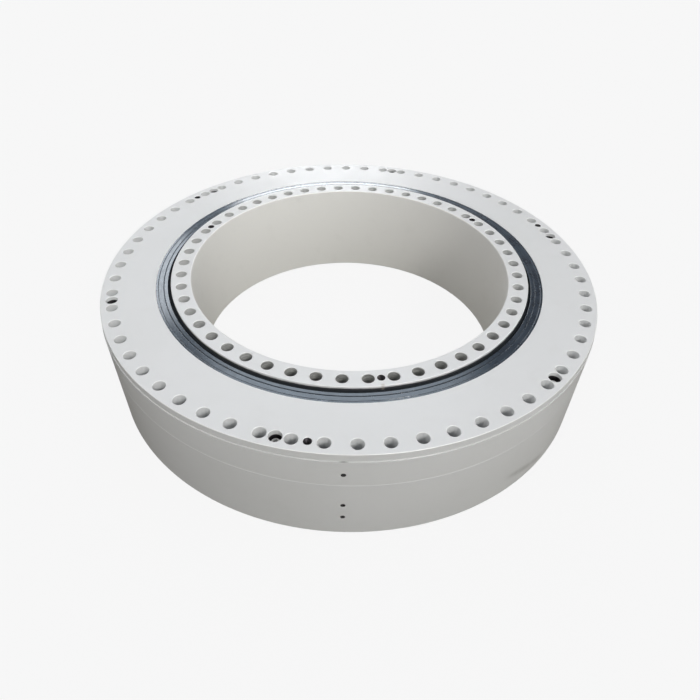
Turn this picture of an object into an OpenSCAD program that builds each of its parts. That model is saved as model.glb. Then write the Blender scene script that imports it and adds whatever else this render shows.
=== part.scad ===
// Three-row roller slewing ring bearing, ungeared, with a split outer ring.
// The axis of rotation is Z, and Z = 0 is the mounting face under the outer ring.
// Radii grow outwards in a chain from the bore, and heights grow upwards in a
// chain from the lower flange, so that each ring follows the pieces it holds.

/* [Inner ring] */
// Diameter of the plain bore
bore_d = 990; // [700:10:1300]
// From the bore to the inner mount hole circle
inner_bolt_inset = 30; // [27:1:45]
// From the inner mount hole circle to the land that the seals run on
land_wall = 30; // [27:1:45]
// From the seal land out to the ring's body
land_step = 20; // [12:1:30]
// How far the nose stands out from the body
nose_reach = 65; // [60:1:90]
// Height of the nose between its two axial raceways
nose_h = 134; // [110:1:170]
// How far the inner ring stands above the outer ring
inner_proud = 9; // [4:1:20]
// Gap under the inner ring when the outer ring stands on its mounting face
foot_gap = 2; // [1:0.5:8]

/* [Outer ring] */
// Thickness of the lower flange, under the lower axial rollers
lower_flange_h = 57; // [50:1:80]
// Thickness of the upper flange, over the upper axial rollers
upper_flange_h = 48.8; // [44:0.2:70]
// From the radial raceway out to the outer mount hole circle
raceway_wall = 52.4; // [45:0.2:80]
// From the outer mount hole circle to the outside wall
wall_inset = 35; // [30:1:60]
// From the radial roller row's centre up to the joint between the two halves
seam_above_radial_row = 82; // [60:1:95]
// Depth of the stepped rim below the top face
rim_h = 23; // [10:1:40]
// How far the wall stands out below the rim
rim_step = 3; // [2:0.5:12]
// Bevel round the foot of the wall
foot_bevel = 4; // [1:0.5:8]
// Bevel on each side of the joint between the two halves
seam_bevel = 1.2; // [0.5:0.1:3]
// Length of the spigot that centres the upper half in the lower half
spigot_h = 55; // [20:1:58]
// Radial clearance of that spigot
spigot_gap = 0.05; // [0.02:0.01:0.2]
// Radial gap between the nose and the walls beside it
nose_gap = 5; // [3:0.5:10]
// Radial gap between the inner ring's body and the flanges' lips
lip_gap = 5; // [3:0.5:8]

/* [Mount holes] */
// Number of mount holes in the outer ring
outer_holes = 60; // [30:6:60]
// Number of mount holes in the inner ring
inner_holes = 50; // [25:1:50]
// Diameter of every mount hole, for M30 screws
mount_hole_d = 33; // [22:0.5:36]
// Bevel at the mouth of each hole
hole_bevel = 1.5; // [0.5:0.1:3]

/* [Lifting threads] */
// Tapping drill of the lifting threads (M24)
lift_thread_d = 21; // [14:0.5:24]
// Depth of the lifting threads
lift_thread_depth = 45; // [25:1:60]

/* [Joining screws] */
// Screws that join the two halves of the outer ring
joining_screws = 6; // [3:1:12]
// Thread diameter
screw_d = 16; // [12:1:20]
// Height of the screw's head
screw_head_h = 16; // [12:1:20]
// Head diameter
screw_head_d = 24; // [18:1:30]
// Key size of the hexagon socket
screw_key = 14; // [10:1:17]
// Diameter of the recess that each screw's head stands in
screw_recess_d = 34; // [26:0.5:40]
// Depth of the top of the head below the ring's top face
screw_sink = 22; // [20:1:40]
// How far the screw goes into the lower half
screw_grip = 36; // [20:1:60]

/* [Rollers and cages] */
// Diameter of the upper axial rollers
upper_roller_d = 45; // [32:1:50]
// Length of the upper axial rollers
upper_roller_l = 45; // [32:1:50]
// Diameter of the lower axial rollers
lower_roller_d = 32; // [25:1:40]
// Length of the lower axial rollers
lower_roller_l = 32; // [25:1:45]
// Diameter of the radial rollers
radial_roller_d = 32; // [25:1:40]
// Length of the radial rollers
radial_roller_l = 32; // [25:1:40]
// Height of the radial row's centre above the nose's lower raceway
radial_row_above_nose = 34.4; // [30:0.1:60]
// Clearance between a roller and each raceway
roller_gap = 0.3; // [0.05:0.05:0.5]
// Clearance between a roller and the sides of its pocket
pocket_gap = 0.5; // [0.2:0.1:1]
// Least web between two pockets of the upper axial cages
upper_web = 9; // [5:0.5:20]
// Least web between two pockets of the lower axial cages
lower_web = 8; // [5:0.5:20]
// Least web between two pockets of the radial cages
radial_web = 6; // [4:0.5:20]
// Rail at each side of a cage's pockets
cage_rail = 6; // [4:0.5:9]
// Gap between a cage and the raceways beside it
cage_gap = 2; // [1:0.5:4]
// Cage segments in each row
cage_segments = 6; // [4:1:8]
// Gap between two neighbouring cage segments
segment_gap = 1; // [0.5:0.5:4]
// Bevel on the ends of each roller
roller_bevel = 1.5; // [0.5:0.5:3]

/* [Seals] */
// Depth of the seat that each seal stands in
seal_seat_h = 24; // [20:0.5:32]
// Radial width of the ledge under each seal
seal_ledge = 20; // [12:1:24]
// How far each seal lies below the ring's face
seal_recess = 1.5; // [0.5:0.5:4]
// Clearance between the seal's lip and the inner ring
lip_clearance = 0.3; // [0.1:0.1:1]
// Cord diameter of the round seal between the two halves
cord_d = 5; // [4:0.5:8]

/* [Grease ports] */
// Columns of ports round the wall, one port for each roller row
port_columns = 4; // [2:1:6]
// Tapping drill of each port (G 1/4)
port_d = 11.8; // [8:0.1:15]
// Depth of the threaded part
port_depth = 16; // [10:1:20]
// Diameter of the passage from there to the rollers
passage_d = 6; // [4:0.5:8]

/* [Hidden] */
function row_nodes(row) = [
    for (piece = ["_cage_", "_rollers_"], i = [1 : cage_segments]) str(row, piece, i)];

$fn = 240;
hole_fn = 48;
cut = 1;            // how far a cutting shape runs past the face it cuts
edge = 1.5;         // bevel on a machined edge
bore_bevel = 3;     // bevel at each end of the bore
drill_tip = 118;    // point angle of a twist drill

// Radii, from the bore outwards
bore_r = bore_d / 2;
inner_bolt_r = bore_r + inner_bolt_inset;
land_r = inner_bolt_r + land_wall;
body_r = land_r + land_step;
nose_r = body_r + nose_reach;
radial_raceway_r = nose_r + radial_roller_d + 2 * roller_gap;
outer_bolt_r = radial_raceway_r + raceway_wall;
wall_r = outer_bolt_r + wall_inset;
rim_r = wall_r - rim_step;
lip_r = body_r + lip_gap;
seat_r = lip_r + seal_ledge;
pocket_r = nose_r + nose_gap;
axial_row_r = (lip_r + pocket_r) / 2;
radial_row_r = nose_r + roller_gap + radial_roller_d / 2;

// Heights, from the mounting face upwards
lower_track_z = lower_flange_h;
lower_row_z = lower_track_z + roller_gap + lower_roller_d / 2;
nose_bottom_z = lower_track_z + lower_roller_d + 2 * roller_gap;
nose_top_z = nose_bottom_z + nose_h;
upper_row_z = nose_top_z + roller_gap + upper_roller_d / 2;
upper_track_z = nose_top_z + upper_roller_d + 2 * roller_gap;
outer_top_z = upper_track_z + upper_flange_h;
inner_top_z = outer_top_z + inner_proud;
radial_row_z = nose_bottom_z + radial_row_above_nose;
radial_cage_h = radial_roller_l + 2 * pocket_gap + 2 * cage_rail;
cage_shelf_z = radial_row_z - radial_cage_h / 2 - roller_gap;
seam_z = radial_row_z + seam_above_radial_row;
spigot_z = seam_z - spigot_h;
rim_z = outer_top_z - rim_h;
upper_seat_z = outer_top_z - seal_seat_h;
lower_seat_z = seal_seat_h;
upper_land_z = upper_seat_z - cage_gap;
lower_land_z = lower_seat_z + cage_gap;

// Joining screws stand midway between two mount holes
hole_step = 360 / outer_holes;
screw_turn = 2.5 * hole_step;
lift_turn = -16.5 * hole_step;
port_turn = -15.4 * hole_step;
screw_top_z = outer_top_z - screw_sink;
screw_seat_z = screw_top_z - screw_head_h;
screw_end_z = seam_z - screw_grip;
thread_room = 4;    // how far a tapped hole runs past the screw in it
thread_gap = 0.1;   // radial room round the screw's plain stand-in for a thread

// Inner lifting threads stand midway between two mount holes, in steps of whole holes
inner_step = 360 / inner_holes;
inner_lift_holes = [-11.5, 4.5, 21.5];

// Round cord seal, lightly pressed in its groove
cord_squeeze = 0.2;
cord_groove_h = cord_d - 2 * cord_squeeze;
cord_r = radial_raceway_r + raceway_wall / 3;

steel_paint = [0.87, 0.87, 0.85];

// ---------- shared shapes ----------

// Children at equal steps on a circle
module around(count, radius, turn = 0) {
    for (i = [0 : count - 1])
        rotate(turn + i * 360 / count) translate([radius, 0, 0]) children();
}

// A drilled hole from z0 up to its mouth at z1, with a bevelled mouth
module hole_up(z0, z1, d) {
    translate([0, 0, z0]) cylinder(h = z1 - z0 + cut, d = d, $fn = hole_fn);
    mouth = hole_bevel + cut;
    translate([0, 0, z1 - hole_bevel])
        cylinder(h = mouth, d1 = d, d2 = d + 2 * mouth, $fn = hole_fn);
}

// The same hole, with its mouth at z0 below
module hole_down(z0, z1, d) {
    translate([0, 0, z0 + z1]) mirror([0, 0, 1]) hole_up(z0, z1, d);
}

// A through hole with a bevel at both ends
module mount_hole(z0, z1) {
    hole_up(z0 - cut, z1, mount_hole_d);
    hole_down(z0, z1, mount_hole_d);
}

// A blind tapped hole with the drill's cone at its end
module blind_hole(z1, d, depth) {
    tip = d / 2 / tan(drill_tip / 2);
    hole_up(z1 - depth, z1, d);
    translate([0, 0, z1 - depth - tip]) cylinder(h = tip, d1 = 0, d2 = d, $fn = hole_fn);
}

// One grease port: a threaded mouth in the wall and a passage to the rollers
module grease_port(z, inner_r) {
    translate([0, 0, z]) rotate([0, 90, 0]) {
        hole_up(wall_r - port_depth, wall_r, port_d);
        translate([0, 0, inner_r - cut])
            cylinder(h = wall_r - inner_r, d = passage_d, $fn = hole_fn);
    }
}

// Seal profile as [radius, height above its seat], with the lip towards the axis
function seal_outline() =
    let (top = seal_seat_h - seal_recess, ridge_r = seat_r - 24, tip_r = land_r + lip_clearance)
    [[seat_r, 0], [seat_r, top], [seat_r - 6, top], [seat_r - 6.6, top - 1.5],
     [seat_r - 7.4, top - 1.5], [seat_r - 8, top - 0.4], [seat_r - 22, top - 0.4],
     [seat_r - 22.6, top - 2.5], [seat_r - 23.4, top - 2.5], [ridge_r, top - 0.3],
     [ridge_r - 1, top], [ridge_r - 3, top], [ridge_r - 4, top - 1], [ridge_r - 8, top - 10],
     [tip_r + 3, top - 4], [tip_r, top - 3], [tip_r, top - 5.5], [ridge_r - 8, top - 15],
     [ridge_r - 4, 2], [ridge_r - 2, 0]];

// ---------- rings ----------

function upper_half_outline() = [
    [lip_r, upper_track_z], [lip_r, upper_seat_z], [seat_r, upper_seat_z],
    [seat_r, outer_top_z - edge / 2], [seat_r + edge / 2, outer_top_z],
    [rim_r - edge, outer_top_z], [rim_r, outer_top_z - edge], [rim_r, rim_z],
    [wall_r - edge, rim_z], [wall_r, rim_z - edge],
    [wall_r, seam_z + seam_bevel], [wall_r - seam_bevel, seam_z],
    [radial_raceway_r - spigot_gap, seam_z], [radial_raceway_r - spigot_gap, spigot_z],
    [pocket_r, spigot_z], [pocket_r, upper_track_z]];

function lower_half_outline() = [
    [seat_r, edge / 2], [seat_r, lower_seat_z], [lip_r, lower_seat_z],
    [lip_r, lower_track_z], [pocket_r, lower_track_z], [pocket_r, cage_shelf_z],
    [radial_raceway_r, cage_shelf_z], [radial_raceway_r, seam_z],
    [wall_r - seam_bevel, seam_z], [wall_r, seam_z - seam_bevel],
    [wall_r, foot_bevel], [wall_r - foot_bevel, 0], [seat_r + edge / 2, 0]];

function inner_ring_outline() = [
    [bore_r, foot_gap + bore_bevel], [bore_r, inner_top_z - bore_bevel],
    [bore_r + bore_bevel, inner_top_z], [land_r - edge, inner_top_z],
    [land_r, inner_top_z - edge], [land_r, upper_land_z], [body_r, upper_land_z],
    [body_r, nose_top_z], [nose_r - edge, nose_top_z], [nose_r, nose_top_z - edge],
    [nose_r, nose_bottom_z + edge], [nose_r - edge, nose_bottom_z],
    [body_r, nose_bottom_z], [body_r, lower_land_z], [land_r, lower_land_z],
    [land_r, foot_gap + edge], [land_r - edge, foot_gap], [bore_r + bore_bevel, foot_gap]];

module outer_ring_upper() {
    color(steel_paint) difference() {
        rotate_extrude() polygon(upper_half_outline());
        around(outer_holes, outer_bolt_r) hole_up(seam_z - cut, outer_top_z, mount_hole_d);
        around(joining_screws, outer_bolt_r, screw_turn) {
            hole_up(screw_seat_z, outer_top_z, screw_recess_d);
            translate([0, 0, seam_z - cut])
                cylinder(h = screw_seat_z - seam_z + 2 * cut, d = screw_d + 2 * cut, $fn = hole_fn);
        }
        around(3, outer_bolt_r, lift_turn)
            blind_hole(outer_top_z, lift_thread_d, lift_thread_depth);
        around(port_columns, 0, port_turn) grease_port(upper_row_z, pocket_r);
    }
}

module outer_ring_lower() {
    color(steel_paint) difference() {
        rotate_extrude() polygon(lower_half_outline());
        around(outer_holes, outer_bolt_r) hole_down(0, seam_z + cut, mount_hole_d);
        around(joining_screws, outer_bolt_r, screw_turn)
            translate([0, 0, screw_end_z - thread_room])
                cylinder(h = seam_z - screw_end_z + thread_room + cut,
                         d = screw_d + 2 * thread_gap, $fn = hole_fn);
        around(port_columns, 0, port_turn) {
            grease_port(radial_row_z, radial_raceway_r);
            grease_port(lower_row_z, pocket_r);
        }
        rotate_extrude() translate([cord_r - cord_d * 0.65, seam_z - cord_groove_h])
            square([cord_d * 1.3, cord_groove_h + cut]);
    }
}

module inner_ring() {
    color(steel_paint) difference() {
        rotate_extrude() polygon(inner_ring_outline());
        around(inner_holes, inner_bolt_r) mount_hole(foot_gap, inner_top_z);
        for (place = inner_lift_holes)
            rotate(place * inner_step) translate([inner_bolt_r, 0, 0])
                blind_hole(inner_top_z, lift_thread_d, lift_thread_depth);
    }
}

// ---------- seals ----------

module upper_seal() {
    color([0.13, 0.15, 0.18]) translate([0, 0, upper_seat_z])
        rotate_extrude() polygon(seal_outline());
}

module lower_seal() {
    color([0.13, 0.15, 0.18]) translate([0, 0, lower_seat_z]) mirror([0, 0, 1])
        rotate_extrude() polygon(seal_outline());
}

module joint_cord_seal() {
    color([0.1, 0.1, 0.1]) translate([0, 0, seam_z - cord_groove_h / 2])
        rotate_extrude() translate([cord_r, 0]) circle(d = cord_groove_h, $fn = hole_fn);
}

// ---------- joining screws ----------

module joining_screw() {
    difference() {
        union() {
            translate([0, 0, screw_seat_z])
                cylinder(h = screw_head_h - edge, d = screw_head_d, $fn = hole_fn);
            translate([0, 0, screw_top_z - edge])
                cylinder(h = edge, d1 = screw_head_d, d2 = screw_head_d - 2 * edge, $fn = hole_fn);
            translate([0, 0, screw_end_z])
                cylinder(h = screw_seat_z - screw_end_z + cut, d = screw_d, $fn = hole_fn);
        }
        translate([0, 0, screw_top_z - screw_head_h / 2])
            cylinder(h = screw_head_h, d = screw_key / cos(30), $fn = 6);
    }
}

module joining_screws() {
    color([0.18, 0.18, 0.19]) around(joining_screws, outer_bolt_r, screw_turn) joining_screw();
}

// ---------- roller rows ----------

// Rollers in one segment: as many as fit at the narrow end with at least this web
function per_segment(radius, roller_d, web) =
    floor(2 * PI * radius / (roller_d + 2 * pocket_gap + web) / cage_segments);

upper_count = per_segment(axial_row_r - upper_roller_l / 2, upper_roller_d, upper_web);
lower_count = per_segment(axial_row_r - lower_roller_l / 2, lower_roller_d, lower_web);
radial_count = per_segment(nose_r + roller_gap, radial_roller_d, radial_web);

module roller(d, l) {
    rotate_extrude($fn = hole_fn) polygon([
        [0, -l / 2], [d / 2 - roller_bevel, -l / 2], [d / 2, -l / 2 + roller_bevel],
        [d / 2, l / 2 - roller_bevel], [d / 2 - roller_bevel, l / 2], [0, l / 2]]);
}

// Children at each roller's place in one cage segment
module in_segment(index, count) {
    step = 360 / cage_segments / count;
    for (j = [0 : count - 1])
        rotate((index - 1) * 360 / cage_segments + (j + 0.5) * step) children();
}

// A curved bar of rectangular section, one segment long
module segment_bar(index, radius, width, z, height) {
    spare = segment_gap / radius * 180 / PI;
    rotate((index - 1) * 360 / cage_segments + spare / 2)
        rotate_extrude(angle = 360 / cage_segments - spare)
            translate([radius - width / 2, z - height / 2]) square([width, height]);
}

module axial_rollers(index, count, d, l, z) {
    color([0.75, 0.76, 0.78]) in_segment(index, count)
        translate([axial_row_r, 0, z]) rotate([0, 90, 0]) roller(d, l);
}

module axial_cage(index, count, d, l, z) {
    height = d + 2 * roller_gap - 2 * cage_gap;
    window = [l + 2 * pocket_gap, d + 2 * pocket_gap, height + 2 * cut];
    color([0.85, 0.82, 0.7]) difference() {
        segment_bar(index, axial_row_r, window[0] + 2 * cage_rail, z, height);
        in_segment(index, count) translate([axial_row_r, 0, z]) cube(window, center = true);
    }
}

module radial_rollers(index) {
    color([0.75, 0.76, 0.78]) in_segment(index, radial_count)
        translate([radial_row_r, 0, radial_row_z]) roller(radial_roller_d, radial_roller_l);
}

module radial_cage(index) {
    width = radial_roller_d + 2 * roller_gap - 2 * (cage_gap + cut);
    window = [width + 4 * cut, radial_roller_d + 2 * pocket_gap, radial_roller_l + 2 * pocket_gap];
    color([0.85, 0.82, 0.7]) difference() {
        segment_bar(index, radial_row_r, width, radial_row_z, radial_cage_h);
        in_segment(index, radial_count)
            translate([radial_row_r, 0, radial_row_z]) cube(window, center = true);
    }
}

// ---------- the parts ----------

outer_ring_upper();
outer_ring_lower();
inner_ring();
upper_seal();
lower_seal();
joint_cord_seal();
joining_screws();
for (i = [1 : cage_segments]) {
    axial_cage(i, upper_count, upper_roller_d, upper_roller_l, upper_row_z);
    axial_rollers(i, upper_count, upper_roller_d, upper_roller_l, upper_row_z);
    radial_cage(i);
    radial_rollers(i);
    axial_cage(i, lower_count, lower_roller_d, lower_roller_l, lower_row_z);
    axial_rollers(i, lower_count, lower_roller_d, lower_roller_l, lower_row_z);
}
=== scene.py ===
# %% [markdown]
# # A three-row roller slewing ring bearing
#
# A slewing ring is the bearing that lets a crane or an excavator turn on its base.
# Two thick steel rings sit one inside the other. Rows of rollers run in the space
# between them, and a rubber seal closes that space above and below. The rings are
# painted off-white for delivery, and screws go through the many holes round each.
#
# This lesson builds the looks on top of a packed mechanical model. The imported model
# is the frame: it says where each piece is and what turns. The script loads it first.

import math

import bpy
from mathutils import Euler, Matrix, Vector


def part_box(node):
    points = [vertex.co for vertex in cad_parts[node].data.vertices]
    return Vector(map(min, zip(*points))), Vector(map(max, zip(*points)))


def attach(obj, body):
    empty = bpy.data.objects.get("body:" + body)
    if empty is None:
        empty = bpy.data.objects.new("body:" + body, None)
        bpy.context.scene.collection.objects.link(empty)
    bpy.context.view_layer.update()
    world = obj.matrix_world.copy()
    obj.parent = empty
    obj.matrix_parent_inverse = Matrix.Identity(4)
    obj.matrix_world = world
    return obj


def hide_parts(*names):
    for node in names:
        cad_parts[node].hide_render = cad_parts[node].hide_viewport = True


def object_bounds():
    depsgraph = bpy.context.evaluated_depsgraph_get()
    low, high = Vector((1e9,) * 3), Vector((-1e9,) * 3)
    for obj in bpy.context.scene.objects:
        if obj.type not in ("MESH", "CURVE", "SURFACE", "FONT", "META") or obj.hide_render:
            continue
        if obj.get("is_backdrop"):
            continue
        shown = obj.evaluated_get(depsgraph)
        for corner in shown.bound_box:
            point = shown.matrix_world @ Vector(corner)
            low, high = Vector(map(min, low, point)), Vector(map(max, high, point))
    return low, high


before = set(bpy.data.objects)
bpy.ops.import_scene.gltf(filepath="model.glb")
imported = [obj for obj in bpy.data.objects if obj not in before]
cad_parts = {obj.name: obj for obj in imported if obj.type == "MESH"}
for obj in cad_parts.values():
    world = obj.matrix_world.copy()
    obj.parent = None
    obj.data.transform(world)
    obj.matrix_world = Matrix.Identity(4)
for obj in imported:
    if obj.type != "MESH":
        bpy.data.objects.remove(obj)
cad_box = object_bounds()
scene = bpy.context.scene
print("box:", [round(v * 1000, 1) for v in cad_box[1] - cad_box[0]], "mm")

# %% [markdown]
# ## The ring's main sizes
#
# Every piece below shares a few radii and heights. They are written once, in
# millimetres, which is how a workshop drawing gives them. `mm` turns them into metres,
# which is what Blender and the frame use. The heights that other pieces give are
# measured on the frame, so that they can't drift from it.

# %% Shared sizes
mm = 0.001
BORE = 495.0
INNER_HOLES = 525.0  # radius of the inner circle of mount holes
LAND = 555.0  # the wall that the seal's lip runs on
BODY = 575.0
NOSE = 640.0
SEAT = 600.0
LIP = 580.0
POCKET = 645.0
RACEWAY = 672.6
OUTER_HOLES = 725.0  # radius of the outer circle of mount holes
RIM = 757.0
WALL = 760.0
SEAM = 206.0  # height of the joint between the outer ring's halves
SEAT_DEPTH = 24.0  # depth of each seal's seat in the outer ring
SHOULDER = 26.0  # depth of the inner ring's shoulder beside each seal
LIFT_TURN, PORT_TURN, SCREW_TURN = -99.0, -92.4, 15.0  # angle of the first of each kind


def height_range(node):
    """The lowest and highest point of a node of the frame, in millimetres."""
    low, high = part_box(node)
    return low.z / mm, high.z / mm


outer_top = height_range("outer_ring_upper")[1]
inner_foot, inner_top = height_range("inner_ring")
ledge_at = outer_top - 23.0  # the rim steps in here, 3 mm inside the wall
print("outer top", round(outer_top, 2), "inner ring", round(inner_foot, 2), round(inner_top, 2))

# %% [markdown]
# ## The camera
#
# The camera stands in front of the ring, a little over two metres away, and looks
# down at about 48 degrees from the vertical. A camera can be aimed with a Track To
# constraint, but plain numbers are exact and need nothing else in the scene.

# %% Camera
eye = bpy.data.cameras.new("camera")
eye.sensor_width = 36.0
eye.lens = 29.484
eye.clip_start, eye.clip_end = 0.05, 60.0
camera = bpy.data.objects.new("camera", eye)
scene.collection.objects.link(camera)
camera.location = (-0.05579, -1.54730, 1.33555)
camera.rotation_euler = Euler([math.radians(a) for a in (48.24530, -1.09285, -1.33264)])
scene.camera = camera
print("camera at", [round(v, 3) for v in camera.location])

# %% [markdown]
# ## Helpers for node trees
#
# Geometry Nodes, materials and the world are all node trees. One helper adds a node,
# sets its options and fills its inputs. An input takes a plain value, or the output
# of another node, which is then linked to it. That keeps each tree readable as a
# list of steps, which is easier to learn from than a long run of separate calls.


# %% Node helper
def add_node(tree, kind, inputs=None, **options):
    """Adds a node, sets its options, and sets or links its inputs."""
    made = tree.nodes.new(kind)
    made.location = (200 * len(tree.nodes), 0)
    for option, value in options.items():
        setattr(made, option, value)
    for key, value in (inputs or {}).items():
        if isinstance(value, bpy.types.NodeSocket):
            tree.links.new(value, made.inputs[key])
        else:
            made.inputs[key].default_value = value
    return made


def maths(tree, operation, *values):
    """One Math node, and its output."""
    return add_node(
        tree, "ShaderNodeMath", dict(enumerate(values)), operation=operation
    ).outputs[0]


def remap(tree, value, low, high, to_low=0.0, to_high=1.0, smooth=False):
    """Turns the range low..high into to_low..to_high, and stops at its ends."""
    kind = "SMOOTHSTEP" if smooth else "LINEAR"
    sockets = {"Value": value, "From Min": low, "From Max": high}
    sockets.update({"To Min": to_low, "To Max": to_high})
    return add_node(tree, "ShaderNodeMapRange", sockets, interpolation_type=kind).outputs[0]


print("helpers ready")

# %% [markdown]
# ## Light and floor
#
# The ring is shown the way a catalogue shows it, on plain pale ground with soft light.
# The ground and the four walls far behind it glow evenly, so they keep the same pale
# tone everywhere. They cast no shadow, and light that bounces off the ring doesn't
# see them. The soft light comes from the world: a dim base, and a few glowing patches
# that stand for windows and lamps. Patches in the world cost nothing to render, and
# give the paint and the oily seal something to mirror. Area lights would do the same,
# with more noise.

# %% Floor
PALE = 0.913  # the tone that the ground shows
SKY_SHARE = 0.02  # the part of that tone that comes from the sky's light on it
REACH, DROP = 30.0, -0.001  # metres from the middle to each wall, and the floor's height
ground_mesh = bpy.data.meshes.new("ground")
square = [(-REACH, -REACH), (REACH, -REACH), (REACH, REACH), (-REACH, REACH)]
ground_mesh.from_pydata(
    [(x, y, z) for z in (DROP, REACH) for x, y in square],
    [],
    [(0, 1, 2, 3)] + [(i, i + 4, (i + 1) % 4 + 4, (i + 1) % 4) for i in range(4)],
)
ground = bpy.data.objects.new("ground", ground_mesh)
scene.collection.objects.link(ground)
ground_finish = bpy.data.materials.new("pale_ground")
ground_finish.use_nodes = True
ground_surface = ground_finish.node_tree.nodes["Principled BSDF"]
ground_surface.inputs["Base Color"].default_value = (0.04, 0.04, 0.04, 1)
ground_surface.inputs["Specular IOR Level"].default_value = 0.0
ground_surface.inputs["Roughness"].default_value = 1.0
ground_surface.inputs["Emission Color"].default_value = (1, 1, 1, 1)
ground_surface.inputs["Emission Strength"].default_value = PALE - SKY_SHARE
ground_mesh.materials.append(ground_finish)
ground.visible_diffuse = False
ground.visible_glossy = False
ground.visible_shadow = False
ground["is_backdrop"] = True
print("ground tone", PALE)


# %% World light
def direction(azimuth, elevation):
    """Unit vector to a place in the sky: azimuth 0 is +X and 90 is +Y."""
    a, e = math.radians(azimuth), math.radians(elevation)
    return (math.cos(a) * math.cos(e), math.sin(a) * math.cos(e), math.sin(e))


# azimuth, elevation, half width in degrees, strength, colour; below 0 it takes light away
patches = [
    (-80, 36, 78, 0.11, (0.98, 1.0, 1.01)),
    (-62, 36, 9, 22.5, (1.0, 0.99, 0.96)),
    (-14, 52, 22, 1.20, (1.0, 1.0, 1.0)),
    (-172, 38, 35, 0.45, (1.0, 0.99, 0.97)),
    (91, 24.5, 10, 5.20, (0.97, 0.99, 1.0)),
    (110, 32.5, 5, 3.00, (0.90, 0.96, 1.02)),
    (89, 48, 15.5, 1.45, (0.85, 0.95, 1.05)),
    (63, 38, 16, -0.20, (1.0, 1.0, 1.0)),
]
world = bpy.data.worlds.new("studio")
scene.world = world
world.use_nodes = True
sky = world.node_tree
sky.nodes.clear()
ray = add_node(sky, "ShaderNodeTexCoord").outputs["Generated"]
up = add_node(sky, "ShaderNodeSeparateXYZ", {0: ray}).outputs["Z"]
# A Mix node keeps sockets for every kind of value, so its colours are 6 and 7.
total = add_node(
    sky,
    "ShaderNodeMix",
    {
        0: remap(sky, up, -0.25, 0.35, smooth=True),
        6: (0.13, 0.12, 0.10, 1),
        7: (0.335, 0.336, 0.355, 1),
    },
    data_type="RGBA",
).outputs[2]
for azimuth, elevation, half_width, strength, colour in patches:
    near = add_node(
        sky,
        "ShaderNodeVectorMath",
        {0: ray, 1: direction(azimuth, elevation)},
        operation="DOT_PRODUCT",
    ).outputs["Value"]
    edge = math.cos(math.radians(half_width))
    glow = remap(sky, near, edge, (1 + edge) / 2, 0.0, strength, smooth=True)
    tinted = add_node(
        sky, "ShaderNodeVectorMath", {0: colour, "Scale": glow}, operation="SCALE"
    ).outputs[0]
    total = add_node(
        sky, "ShaderNodeVectorMath", {0: total, 1: tinted}, operation="ADD"
    ).outputs[0]
background = add_node(sky, "ShaderNodeBackground", {"Color": total, "Strength": 1.0})
add_node(sky, "ShaderNodeOutputWorld", {"Surface": background.outputs[0]})
scene.view_settings.view_transform = "Standard"
print("world light:", len(patches), "patches")


# %% [markdown]
# ## Outlines with softened corners
#
# A ring like this is turned on a lathe, so it is one outline swept round an axis.
# The outline is a list of corners: a radius, a height, and how far the corner is
# rounded. Real machined edges are never perfectly sharp. Even half a millimetre of
# rounding catches a thin bright line, which the eye reads as thick solid steel.


# %% Outline helper
def soften(corners, steps=3):
    """Rounds each corner (x, y, size) of a closed outline with a short curve."""
    points = []
    for i, (x, y, size) in enumerate(corners):
        here = Vector((x, y))
        before = Vector(corners[i - 1][:2]) - here
        after = Vector(corners[(i + 1) % len(corners)][:2]) - here
        reach = min(size, 0.45 * before.length, 0.45 * after.length)
        if reach <= 0:
            points.append(here)
            continue
        start, end = here + before.normalized() * reach, here + after.normalized() * reach
        for k in range(steps + 1):
            t = k / steps
            points.append(start * (1 - t) ** 2 + here * 2 * t * (1 - t) + end * t**2)
    return points


def outline_object(name, points):
    """A loop of edges, wound one way, for the turning tree: radius and minus height."""
    twice_area = sum(
        a.x * b.y - b.x * a.y for a, b in zip(points, points[1:] + points[:1])
    )
    if twice_area < 0:
        points = points[::-1]
    mesh = bpy.data.meshes.new(name)
    count = len(points)
    mesh.from_pydata(
        [((p.x - PATH) * mm, -p.y * mm, 0) for p in points],
        [(i, (i + 1) % count) for i in range(count)],
        [],
    )
    made = bpy.data.objects.new(name, mesh)
    scene.collection.objects.link(made)
    return made


PATH = 600.0  # radius of the circle that each outline is swept along
TURN_STEPS = 480  # flat facets round each ring, each three quarters of a degree
SHARP = math.radians(32)  # an edge that bends more than this is shaded as a sharp one
print("an outline is swept in", TURN_STEPS, "steps")

# %% [markdown]
# ## Drills
#
# A hole is easiest to make as a solid of the space it leaves, taken away from the
# ring. Each such drill is lofted: a stack of closed loops, joined by faces. Loops of
# one size make a plain hole, wider loops at the mouth make its bevel, and loops whose
# radius winds up and down along a helix cut a real screw thread.


# %% Loft helper
def loft(name, loops, is_bare=None):
    """A closed solid through loops of equal counts of points, in mm.

    is_bare tells from a face's height whether the wall that it cuts stays unpainted.
    """
    count = len(loops[0])
    points = [tuple(c * mm for c in p) for loop in loops for p in loop]
    faces = []
    for i in range(len(loops) - 1):
        a, b = i * count, (i + 1) * count
        faces += [
            (a + j, a + (j + 1) % count, b + (j + 1) % count, b + j) for j in range(count)
        ]
    faces.append(tuple(reversed(range(count))))
    faces.append(tuple(range((len(loops) - 1) * count, len(loops) * count)))
    mesh = bpy.data.meshes.new(name)
    mesh.from_pydata(points, [], faces)
    unpainted = mesh.attributes.new("bare", "BOOLEAN", "FACE")
    if is_bare:
        flags = [is_bare(face.center.z / mm) for face in mesh.polygons]
        unpainted.data.foreach_set("value", flags)
    made = bpy.data.objects.new(name, mesh)
    scene.collection.objects.link(made)
    return made


def round_loop(radius, z, count):
    """A level circle; radius may be a function of the angle."""
    loop = []
    for j in range(count):
        a = math.tau * j / count
        r = radius(a) if callable(radius) else radius
        loop.append((r * math.cos(a), r * math.sin(a), z))
    return loop


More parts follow.
